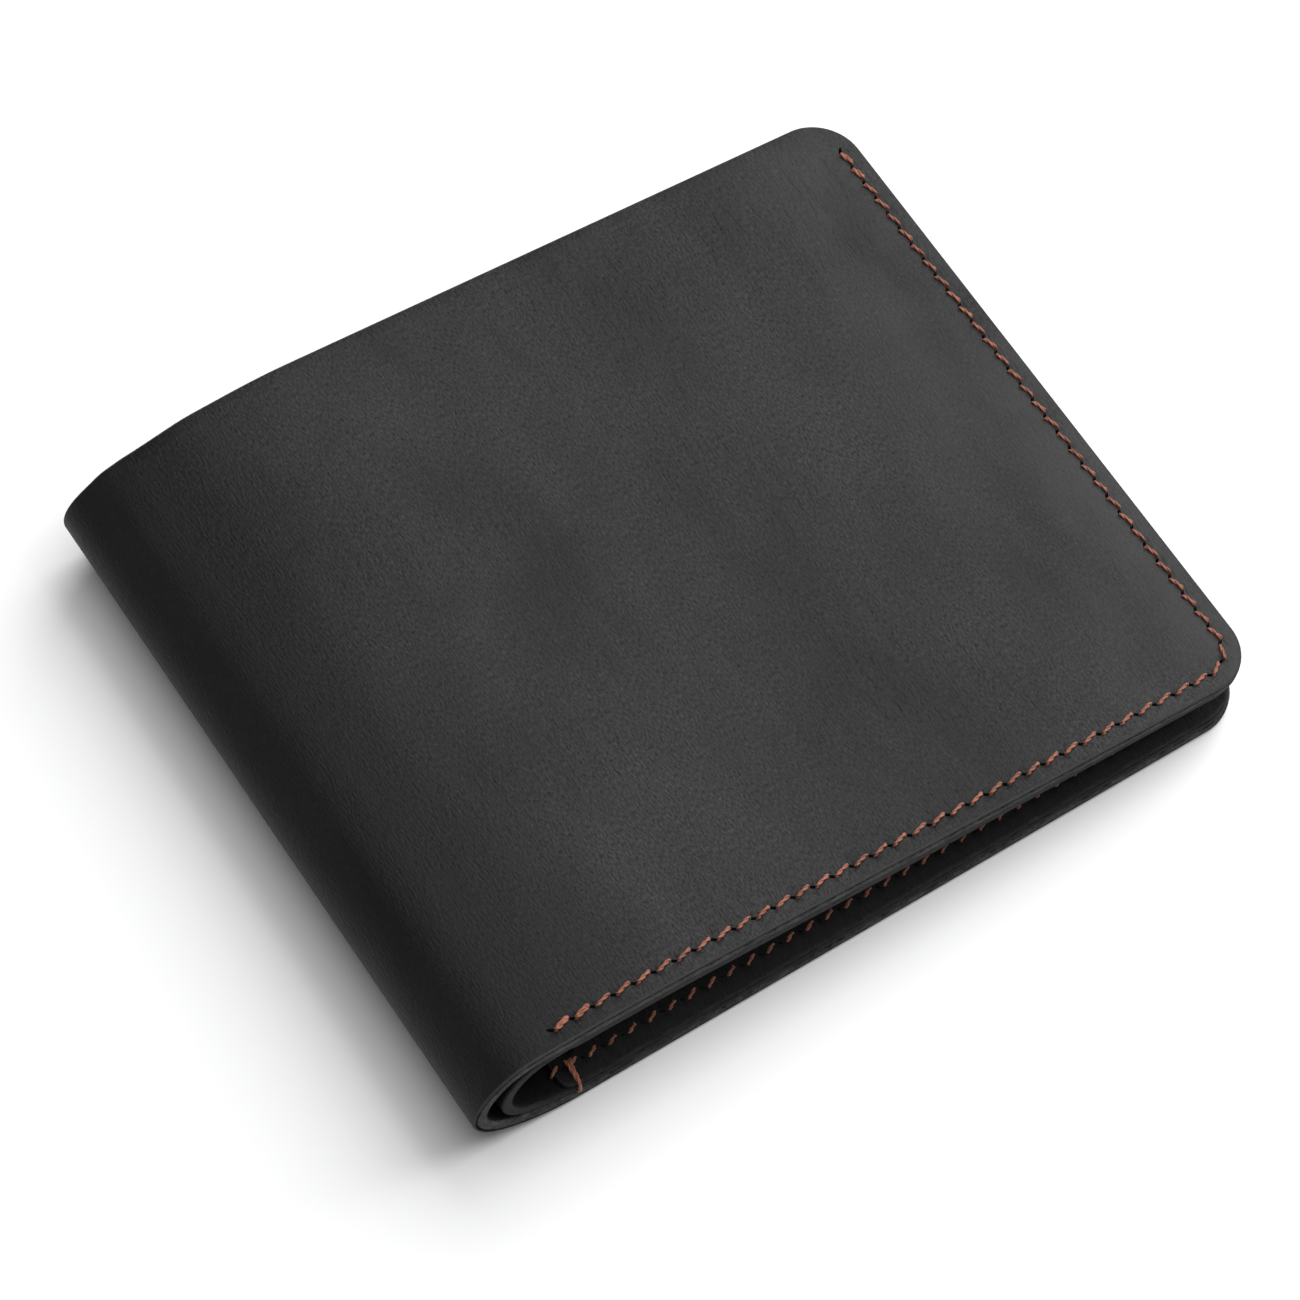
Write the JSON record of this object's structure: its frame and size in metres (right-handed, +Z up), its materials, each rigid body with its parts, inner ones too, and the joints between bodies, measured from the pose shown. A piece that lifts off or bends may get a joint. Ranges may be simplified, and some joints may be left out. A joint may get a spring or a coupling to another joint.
{
  "type": "bifold wallet",
  "caption": "Closed bifold wallet in waxed leather with a bill compartment, stepped card slots and saddle stitching, folding flat open at its spine.",
  "frame": {"origin": "middle of the footprint of the closed wallet, on the surface it lies on", "axes": "+X from the fold to the open edge, +Y from the stitched bottom edge to the mouth of the bill compartment, +Z up, out of the front cover"},
  "size_m": [0.116, 0.096, 0.02],
  "materials": {
    "cover_leather": "waxed pull-up, satin",
    "panel_leather": "waxed, satin",
    "pocket_leather": "waxed, satin",
    "thread": "waxed twisted thread"
  },
  "bodies": {
    "back_half": {"back_cover": "cover_leather", "back_bill_panel": "panel_leather", "back_upper_slot": "pocket_leather", "back_middle_slot": "pocket_leather", "back_lower_pocket": "pocket_leather", "back_edge_thread": "thread", "back_side_thread": "thread", "back_upper_slot_thread": "thread", "back_middle_slot_thread": "thread"},
    "spine_1": {"cover_spine_1": "cover_leather", "panel_spine_1": "panel_leather"},
    "spine_2": {"cover_spine_2": "cover_leather", "panel_spine_2": "panel_leather"},
    "spine_3": {"cover_spine_3": "cover_leather", "panel_spine_3": "panel_leather"},
    "spine_4": {"cover_spine_4": "cover_leather", "panel_spine_4": "panel_leather"},
    "front_half": {"front_cover": "cover_leather", "front_bill_panel": "panel_leather", "front_upper_slot": "pocket_leather", "front_middle_slot": "pocket_leather", "front_lower_pocket": "pocket_leather", "front_edge_thread": "thread", "front_side_thread": "thread", "front_upper_slot_thread": "thread", "front_middle_slot_thread": "thread"}
  },
  "joints": [
    {"name": "fold", "type": "hinge", "parent": "back_half", "child": "spine_1", "pos_m": [-0.04883, 0, 0.00175], "axis": [0, -1, 0], "range_deg": [0, 40]},
    {"name": "fold_2", "type": "hinge", "parent": "spine_1", "child": "spine_2", "pos_m": [-0.05594, 0, 0.00708], "axis": [0, -1, 0], "range_deg": [0, 36.2]},
    {"name": "fold_3", "type": "hinge", "parent": "spine_2", "child": "spine_3", "pos_m": [-0.05711, 0, 0.01183], "axis": [0, -1, 0], "range_deg": [0, 36.2]},
    {"name": "fold_4", "type": "hinge", "parent": "spine_3", "child": "spine_4", "pos_m": [-0.05524, 0, 0.01636], "axis": [0, -1, 0], "range_deg": [0, 36.2]},
    {"name": "fold_5", "type": "hinge", "parent": "spine_4", "child": "front_half", "pos_m": [-0.05106, 0, 0.01892], "axis": [0, -1, 0], "range_deg": [0, 36.2]}
  ],
  "couplings": [
    {"joint": "fold_2", "follows": "fold", "ratio": 0.90475},
    {"joint": "fold_3", "follows": "fold", "ratio": 0.90475},
    {"joint": "fold_4", "follows": "fold", "ratio": 0.90475},
    {"joint": "fold_5", "follows": "fold", "ratio": 0.90475}
  ]
}
